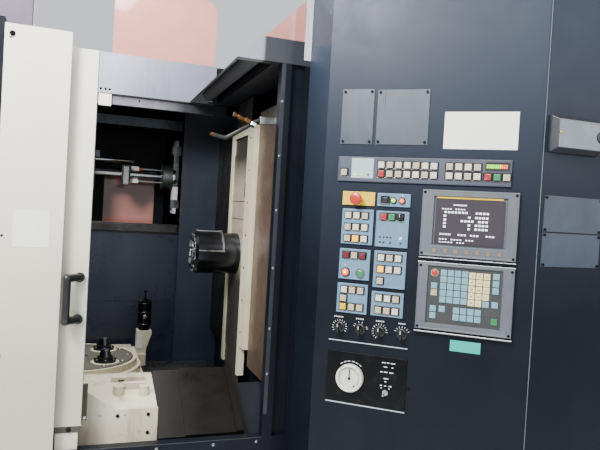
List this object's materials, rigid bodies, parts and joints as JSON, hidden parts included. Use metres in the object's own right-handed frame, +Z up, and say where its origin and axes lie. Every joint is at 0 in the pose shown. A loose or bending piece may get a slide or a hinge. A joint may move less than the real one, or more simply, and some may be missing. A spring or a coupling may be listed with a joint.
{
  "type": "horizontal machining center",
  "caption": "Horizontal machining center with open sliding door, rotary table, horizontal spindle, tool changer and operator console.",
  "frame": {"origin": "on the floor under the middle of the whole machine", "axes": "+X to the right as the operator stands, +Y to the back, +Z up"},
  "size_m": [3.6, 2.94, 2.64],
  "materials": {
    "navy_paint": "satin navy paint, scuffed",
    "ivory_paint": "satin ivory paint, worn at the edges",
    "cream_casting": "oily cream machine paint",
    "grey_paint": "smudged blue-grey paint",
    "bronze_sheet": "oily brushed steel sheet",
    "steel": "ground steel",
    "dark_steel": "black oxide",
    "cast_iron": "painted rough casting",
    "brass": "brass fitting",
    "tinted": "copper tinted pane",
    "black_plastic": "black moulded plastic",
    "key_plastic": "blue key panel",
    "red_plastic": "red gloss plastic",
    "rubber": "black rubber"
  },
  "bodies": {
    "frame": {"leveling_feet": "dark_steel", "bed_casting": "cast_iron", "linear_rails": "steel", "way_cover_fixed": "bronze_sheet", "side_cover_fixed": "bronze_sheet", "back_wall": "navy_paint", "corner_panel": "navy_paint", "rear_header": "grey_paint", "tinted_windows": "tinted", "atc_gearbox": "grey_paint", "coolant_nozzles": "brass", "front_sill": "navy_paint", "front_jamb": "navy_paint", "roof_beam": "grey_paint", "fixed_panel": "ivory_paint", "left_housing": "navy_paint", "rear_housing": "navy_paint", "right_housing": "navy_paint", "console_tower": "navy_paint", "console_plates": "navy_paint", "key_panels": "key_plastic", "crt_unit": "black_plastic", "mdi_unit": "black_plastic", "gauge_panel": "black_plastic"},
    "table": {"table_base": "cream_casting", "setter_bracket": "cream_casting", "setter_probe": "dark_steel", "way_cover_end": "bronze_sheet"},
    "rotary": {"rotary_table": "cast_iron", "pallet_cones": "dark_steel"},
    "way_cover": {"way_cover_mid": "bronze_sheet"},
    "column": {"column_casting": "cream_casting", "column_frame": "cream_casting", "side_cover_end": "bronze_sheet", "head_cover_fixed": "bronze_sheet"},
    "side_cover": {"side_cover_mid": "bronze_sheet"},
    "head": {"head_casting": "cream_casting", "head_plate": "bronze_sheet", "spindle_housing": "dark_steel", "coolant_tube": "steel"},
    "head_cover": {"head_cover_mid": "bronze_sheet"},
    "spindle": {"spindle_shaft": "steel", "drawbar": "steel"},
    "door": {"sliding_door": "ivory_paint", "door_handle": "black_plastic", "door_foot": "steel"},
    "changer": {"atc_shaft": "steel"},
    "changer_arm": {"atc_arm": "steel"},
    "magazine": {"magazine_drum": "cast_iron"},
    "shade": {"shade_roller": "rubber"},
    "cabinet": {"cabinet_door": "navy_paint", "junction_box": "grey_paint"},
    "latch": {"cabinet_latch": "steel"},
    "stop_button": {"estop_button": "red_plastic"},
    "knob_a": {"knob_1": "black_plastic"},
    "knob_b": {"knob_2": "black_plastic"},
    "knob_c": {"knob_3": "black_plastic"},
    "knob_d": {"knob_4": "black_plastic"},
    "needle": {"gauge_needle": "black_plastic"},
    "toggle": {"toggle_lever": "steel"}
  },
  "joints": [
    {"name": "table_slide", "type": "slide", "parent": "frame", "child": "table", "axis": [1, 0, 0], "range_m": [-0.25, 0.1]},
    {"name": "way_cover_slide", "type": "slide", "parent": "frame", "child": "way_cover", "axis": [1, 0, 0], "range_m": [-0.125, 0.05]},
    {"name": "rotary_turn", "type": "hinge", "parent": "table", "child": "rotary", "pos_m": [-0.305, -0.005, 0.8], "axis": [0, 0, 1], "continuous": true},
    {"name": "column_slide", "type": "slide", "parent": "frame", "child": "column", "axis": [0, 1, 0], "range_m": [-0.1, 0.2]},
    {"name": "side_cover_slide", "type": "slide", "parent": "frame", "child": "side_cover", "axis": [0, 1, 0], "range_m": [-0.05, 0.1]},
    {"name": "head_slide", "type": "slide", "parent": "column", "child": "head", "axis": [0, 0, 1], "range_m": [-0.2, 0.26]},
    {"name": "head_cover_slide", "type": "slide", "parent": "column", "child": "head_cover", "axis": [0, 0, 1], "range_m": [-0.1, 0.13]},
    {"name": "spindle_turn", "type": "hinge", "parent": "head", "child": "spindle", "pos_m": [0.4, -0.005, 1.33], "axis": [1, 0, 0], "continuous": true},
    {"name": "door_slide", "type": "slide", "parent": "frame", "child": "door", "axis": [1, 0, 0], "range_m": [0, 0.626]},
    {"name": "changer_slide", "type": "slide", "parent": "frame", "child": "changer", "axis": [1, 0, 0], "range_m": [-0.11, 0]},
    {"name": "changer_turn", "type": "hinge", "parent": "changer", "child": "changer_arm", "pos_m": [0.2, 0.905, 1.722], "axis": [1, 0, 0], "continuous": true},
    {"name": "magazine_turn", "type": "hinge", "parent": "frame", "child": "magazine", "pos_m": [0.35, 1.13, 1.452], "axis": [1, 0, 0], "continuous": true},
    {"name": "shade_turn", "type": "hinge", "parent": "frame", "child": "shade", "pos_m": [0.275, 0, 2.133], "axis": [0, 1, 0], "continuous": true},
    {"name": "cabinet_hinge", "type": "hinge", "parent": "frame", "child": "cabinet", "pos_m": [1.76, -1.436, 1.2], "axis": [0, 0, 1], "range_deg": [0, 110]},
    {"name": "latch_turn", "type": "hinge", "parent": "cabinet", "child": "latch", "pos_m": [1.06478, -1.428, 0.76], "axis": [0, 1, 0], "range_deg": [0, 90]},
    {"name": "stop_press", "type": "slide", "parent": "frame", "child": "stop_button", "axis": [0.6347, 0.7727, 0], "range_m": [0, 0.004], "stiffness_N_per_m": 400},
    {"name": "knob_a_turn", "type": "hinge", "parent": "frame", "child": "knob_a", "pos_m": [0.52346, -1.04907, 1.173], "axis": [-0.6347, -0.7727, 0], "range_deg": [-135, 135]},
    {"name": "knob_b_turn", "type": "hinge", "parent": "frame", "child": "knob_b", "pos_m": [0.57832, -1.09413, 1.173], "axis": [-0.6347, -0.7727, 0], "range_deg": [-135, 135]},
    {"name": "knob_c_turn", "type": "hinge", "parent": "frame", "child": "knob_c", "pos_m": [0.62932, -1.13602, 1.173], "axis": [-0.6347, -0.7727, 0], "range_deg": [-135, 135]},
    {"name": "knob_d_turn", "type": "hinge", "parent": "frame", "child": "knob_d", "pos_m": [0.68573, -1.18236, 1.173], "axis": [-0.6347, -0.7727, 0], "range_deg": [-135, 135]},
    {"name": "needle_turn", "type": "hinge", "parent": "frame", "child": "needle", "pos_m": [0.54785, -1.09499, 1.009], "axis": [-0.6347, -0.7727, 0], "range_deg": [-135, 135]},
    {"name": "toggle_tilt", "type": "hinge", "parent": "frame", "child": "toggle", "pos_m": [0.64293, -1.1683, 0.976], "axis": [0.7727, -0.6347, 0], "range_deg": [-15, 15]}
  ],
  "couplings": [
    {"joint": "way_cover_slide", "follows": "table_slide", "ratio": 0.5},
    {"joint": "side_cover_slide", "follows": "column_slide", "ratio": 0.5},
    {"joint": "head_cover_slide", "follows": "head_slide", "ratio": 0.5}
  ]
}
